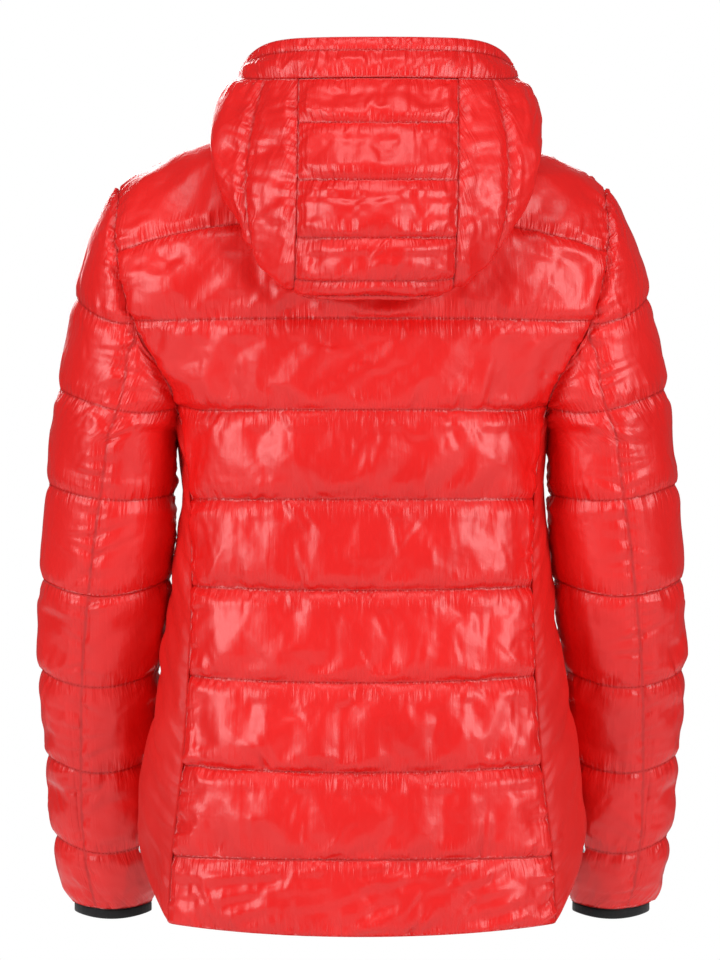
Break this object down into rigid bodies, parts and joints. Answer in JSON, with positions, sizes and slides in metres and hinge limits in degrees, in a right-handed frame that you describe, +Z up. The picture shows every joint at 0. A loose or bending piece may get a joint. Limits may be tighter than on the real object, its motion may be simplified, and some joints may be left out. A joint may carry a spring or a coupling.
{
  "type": "ski jacket",
  "caption": "Hooded quilted ski jacket with padded body and sleeves, stretch side panels, full front zip and zipped hand pockets.",
  "frame": {"origin": "middle of the underside of the hanger loop's top, inside the back of the neck, where a coat hook bears", "axes": "+Z up along the back, +X to the wearer's left, -Y to the wearer's front"},
  "size_m": [0.5722, 0.3245, 0.7763],
  "materials": {
    "shell_nylon": "glossy tightly woven nylon",
    "stretch_nylon": "matt stretch knit",
    "fill": "soft loose fibre",
    "lining": "smooth plain weave",
    "elastic": "matt ribbed elastic",
    "zip_tape": "matt woven tape",
    "zip_teeth": "satin moulded",
    "zip_metal": "satin nickel"
  },
  "bodies": {
    "jacket": {"back_panel": "shell_nylon", "back_fill": "fill", "back_lining": "lining", "back_hem_band": "shell_nylon", "collar_shell": "shell_nylon", "collar_lining": "lining", "zip_teeth_left": "zip_teeth", "zip_tape_left": "zip_tape", "zip_teeth_right": "zip_teeth", "zip_tape_right": "zip_tape", "zip_retainer_box": "zip_metal", "storm_flap": "lining", "hanger_loop": "elastic", "left_front_panel": "shell_nylon", "left_front_fill": "fill", "left_front_lining": "lining", "left_pocket_bag": "lining", "left_side_panel": "stretch_nylon", "left_pocket_welt": "stretch_nylon", "left_pocket_teeth": "zip_teeth", "left_pocket_tape": "zip_tape", "right_front_panel": "shell_nylon", "right_front_fill": "fill", "right_front_lining": "lining", "right_pocket_bag": "lining", "right_side_panel": "stretch_nylon", "right_pocket_welt": "stretch_nylon", "right_pocket_teeth": "zip_teeth", "right_pocket_tape": "zip_tape"},
    "zip_slider": {"zip_slider": "zip_metal"},
    "zip_puller": {"zip_puller": "zip_metal"},
    "hood": {"hood_brim": "shell_nylon", "hood_centre_panel": "shell_nylon", "hood_left_panel": "shell_nylon", "hood_right_panel": "shell_nylon", "hood_fill": "fill", "hood_lining": "lining"},
    "left_upper_sleeve": {"left_upper_sleeve_panel": "shell_nylon", "left_upper_sleeve_back_panel": "shell_nylon", "left_upper_sleeve_fill": "fill", "left_upper_sleeve_lining": "lining"},
    "left_lower_sleeve": {"left_forearm_panel": "shell_nylon", "left_forearm_back_panel": "shell_nylon", "left_forearm_fill": "fill", "left_forearm_lining": "lining", "left_cuff_binding": "elastic"},
    "left_pocket_slider": {"left_pocket_slider": "zip_metal"},
    "left_pocket_puller": {"left_pocket_puller": "zip_metal"},
    "right_upper_sleeve": {"right_upper_sleeve_panel": "shell_nylon", "right_upper_sleeve_back_panel": "shell_nylon", "right_upper_sleeve_fill": "fill", "right_upper_sleeve_lining": "lining"},
    "right_lower_sleeve": {"right_forearm_panel": "shell_nylon", "right_forearm_back_panel": "shell_nylon", "right_forearm_fill": "fill", "right_forearm_lining": "lining", "right_cuff_binding": "elastic"},
    "right_pocket_slider": {"right_pocket_slider": "zip_metal"},
    "right_pocket_puller": {"right_pocket_puller": "zip_metal"}
  },
  "joints": [
    {"name": "front_zip", "type": "slide", "parent": "jacket", "child": "zip_slider", "axis": [0, -0.0311, -0.9995], "range_m": [0, 0.6]},
    {"name": "zip_puller_swing", "type": "hinge", "parent": "zip_slider", "child": "zip_puller", "pos_m": [0, -0.16113, -0.01632], "axis": [-1, 0, 0], "range_deg": [0, 170]},
    {"name": "hood_lift", "type": "hinge", "parent": "jacket", "child": "hood", "pos_m": [0, -0.093, 0.007], "axis": [1, 0, 0], "range_deg": [0, 45]},
    {"name": "left_shoulder", "type": "hinge", "parent": "jacket", "child": "left_upper_sleeve", "pos_m": [0.213, -0.057, -0.045], "axis": [0, -1, 0], "range_deg": [0, 45]},
    {"name": "left_elbow", "type": "hinge", "parent": "left_upper_sleeve", "child": "left_lower_sleeve", "pos_m": [0.231, -0.141, -0.398], "axis": [-1, 0, 0], "range_deg": [0, 40]},
    {"name": "left_pocket_zip", "type": "slide", "parent": "jacket", "child": "left_pocket_slider", "axis": [-0.1205, 0.0242, 0.9924], "range_m": [0, 0.128]},
    {"name": "left_pocket_puller_swing", "type": "hinge", "parent": "left_pocket_slider", "child": "left_pocket_puller", "pos_m": [0.19304, -0.10083, -0.60682], "axis": [-0.3758, -0.9264, -0.023], "range_deg": [0, 15]},
    {"name": "right_shoulder", "type": "hinge", "parent": "jacket", "child": "right_upper_sleeve", "pos_m": [-0.213, -0.057, -0.045], "axis": [0, 1, 0], "range_deg": [0, 45]},
    {"name": "right_elbow", "type": "hinge", "parent": "right_upper_sleeve", "child": "right_lower_sleeve", "pos_m": [-0.231, -0.141, -0.398], "axis": [-1, 0, 0], "range_deg": [0, 40]},
    {"name": "right_pocket_zip", "type": "slide", "parent": "jacket", "child": "right_pocket_slider", "axis": [0.1205, 0.0242, 0.9924], "range_m": [0, 0.128]},
    {"name": "right_pocket_puller_swing", "type": "hinge", "parent": "right_pocket_slider", "child": "right_pocket_puller", "pos_m": [-0.19304, -0.10083, -0.60682], "axis": [-0.3758, 0.9264, 0.023], "range_deg": [0, 15]}
  ]
}
